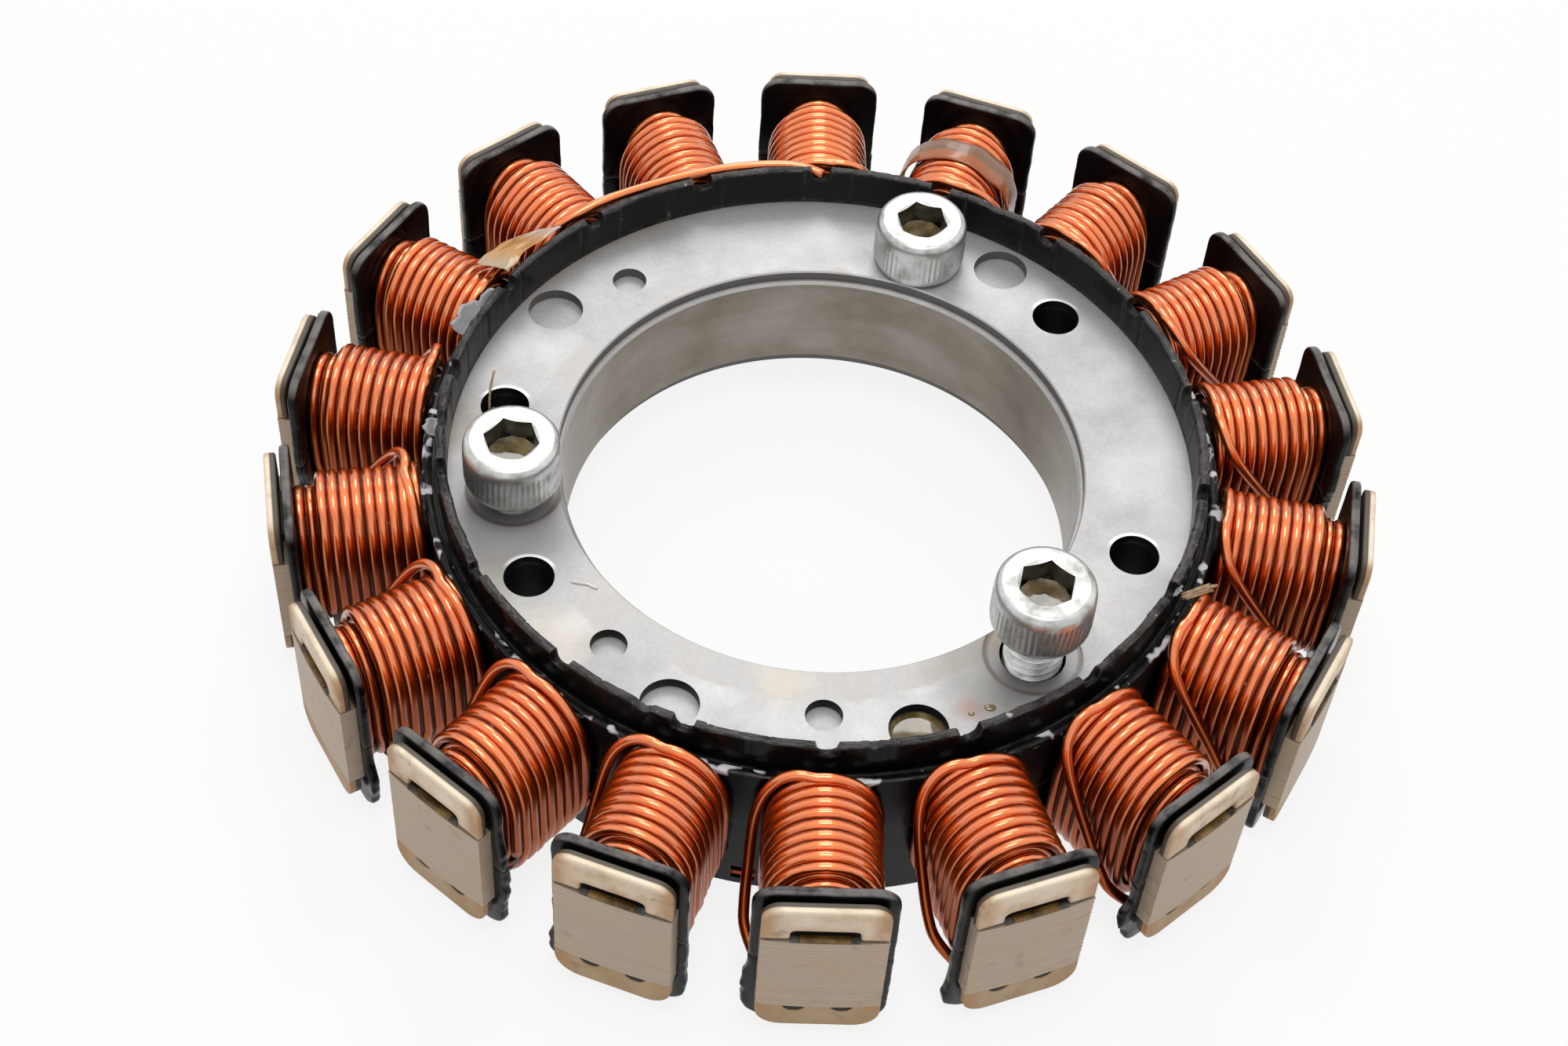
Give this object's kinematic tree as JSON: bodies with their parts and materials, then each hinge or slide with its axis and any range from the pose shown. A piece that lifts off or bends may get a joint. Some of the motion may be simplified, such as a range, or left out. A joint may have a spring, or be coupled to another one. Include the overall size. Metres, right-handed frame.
{
  "type": "wound stator",
  "caption": "Ring-shaped generator stator: laminated core with outward T-shaped poles, copper coils, black insulator, bent steel end plates and loose socket screws.",
  "frame": {"origin": "on the bore axis, at the resting plane under the insulator's feet", "axes": "+Z along the bore axis, up, towards the notched rim; -Y towards the pole numbered 1"},
  "size_m": [0.1138, 0.114, 0.0292],
  "materials": {
    "core_steel": "stained",
    "plate_steel": "satin",
    "black_moulding": "semi-gloss",
    "copper_wire": "enamelled",
    "amber_tape": "translucent",
    "zinc_screw": "zinc plated"
  },
  "bodies": {
    "root": {"lamination_stack": "core_steel", "upper_end_plate": "plate_steel", "lower_end_plate": "plate_steel", "upper_insulator": "black_moulding", "lower_insulator": "black_moulding", "tape_band": "amber_tape", "insulation_scrap": "amber_tape", "coil_01": "copper_wire", "coil_02": "copper_wire", "coil_03": "copper_wire", "coil_04": "copper_wire", "coil_05": "copper_wire", "coil_06": "copper_wire", "coil_07": "copper_wire", "coil_08": "copper_wire", "coil_09": "copper_wire", "coil_10": "copper_wire", "coil_11": "copper_wire", "coil_12": "copper_wire", "coil_13": "copper_wire", "coil_14": "copper_wire", "coil_15": "copper_wire", "coil_16": "copper_wire", "coil_17": "copper_wire", "coil_18": "copper_wire", "phase_wire_a": "copper_wire", "phase_wire_b": "copper_wire", "phase_wire_c": "copper_wire", "upper_jumper": "copper_wire", "socket_screw_1": "zinc_screw", "socket_screw_2": "zinc_screw", "socket_screw_3": "zinc_screw"}
  },
  "joints": []
}
